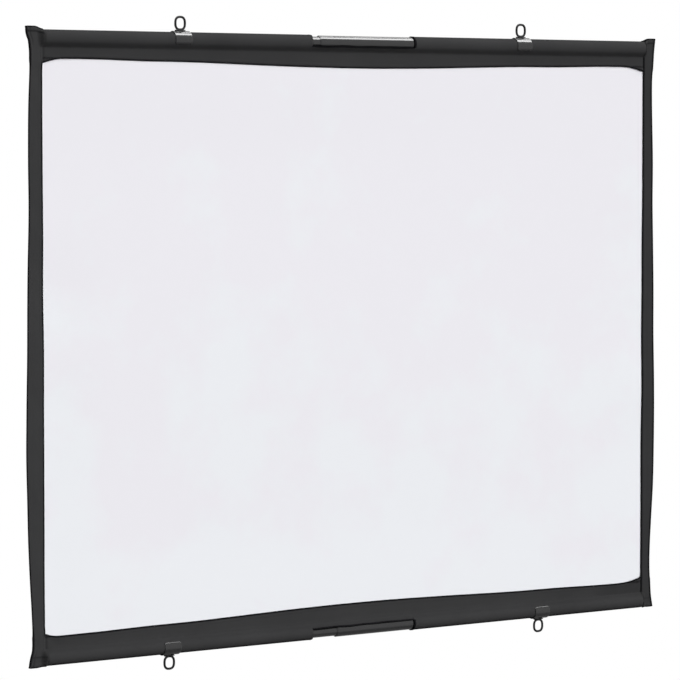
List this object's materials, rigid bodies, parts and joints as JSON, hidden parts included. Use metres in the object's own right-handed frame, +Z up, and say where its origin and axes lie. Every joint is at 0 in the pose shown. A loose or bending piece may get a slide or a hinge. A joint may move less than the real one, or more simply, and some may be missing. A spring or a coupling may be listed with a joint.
{
  "type": "hanging projection screen",
  "caption": "Cloth projection screen with black edging, stretched on telescopic poles in a top and bottom sleeve and hung from ringed spring clips.",
  "frame": {"origin": "the hanging line: level with the inner top of the two upper rings, over the middle of the screen and in its plane", "axes": "+X along the poles, to the right as seen by the audience; +Y into the wall, away from the audience; +Z up"},
  "size_m": [1.069, 0.0238, 0.8835],
  "materials": {
    "white_cloth": "matt white woven screen cloth",
    "black_cloth": "black woven polyester, faint sheen",
    "pole_steel": "gloss black coated steel tube",
    "clip_steel": "gloss black spring steel",
    "black_plastic": "moulded black plastic"
  },
  "bodies": {
    "top_pole": {"top_outer_tube": "pole_steel", "top_outer_plug": "black_plastic"},
    "top_inner": {"top_inner_tube": "pole_steel", "top_inner_plug": "black_plastic", "top_guide_bush": "black_plastic"},
    "clip_top_left": {"top_left_clip": "clip_steel", "top_left_ring": "clip_steel"},
    "clip_top_right": {"top_right_clip": "clip_steel", "top_right_ring": "clip_steel"},
    "screen": {"screen_cloth": "white_cloth", "top_sleeve": "black_cloth", "bottom_sleeve": "black_cloth", "left_binding": "black_cloth", "right_binding": "black_cloth"},
    "bottom_pole": {"bottom_outer_tube": "pole_steel", "bottom_outer_plug": "black_plastic"},
    "bottom_inner": {"bottom_inner_tube": "pole_steel", "bottom_inner_plug": "black_plastic", "bottom_guide_bush": "black_plastic"},
    "clip_bottom_left": {"bottom_left_clip": "clip_steel", "bottom_left_ring": "clip_steel"},
    "clip_bottom_right": {"bottom_right_clip": "clip_steel", "bottom_right_ring": "clip_steel"}
  },
  "joints": [
    {"name": "top_telescope", "type": "slide", "parent": "top_pole", "child": "top_inner", "axis": [1, 0, 0], "range_m": [0, 0.415]},
    {"name": "top_left_clip_slide", "type": "slide", "parent": "top_pole", "child": "clip_top_left", "axis": [1, 0, 0], "range_m": [-0.185, 0.19]},
    {"name": "top_right_clip_slide", "type": "slide", "parent": "top_pole", "child": "clip_top_right", "axis": [1, 0, 0], "range_m": [-0.178, 0.2]},
    {"name": "screen_swing", "type": "hinge", "parent": "top_pole", "child": "screen", "pos_m": [0, 0, -0.02975], "axis": [1, 0, 0], "range_deg": [-20, 20]},
    {"name": "bottom_pole_turn", "type": "hinge", "parent": "screen", "child": "bottom_pole", "pos_m": [0, 0, -0.84875], "axis": [1, 0, 0], "range_deg": [-20, 20]},
    {"name": "bottom_telescope", "type": "slide", "parent": "bottom_pole", "child": "bottom_inner", "axis": [1, 0, 0], "range_m": [0, 0.415]},
    {"name": "bottom_left_clip_slide", "type": "slide", "parent": "bottom_pole", "child": "clip_bottom_left", "axis": [1, 0, 0], "range_m": [-0.165, 0.21]},
    {"name": "bottom_right_clip_slide", "type": "slide", "parent": "bottom_pole", "child": "clip_bottom_right", "axis": [1, 0, 0], "range_m": [-0.21, 0.165]}
  ]
}
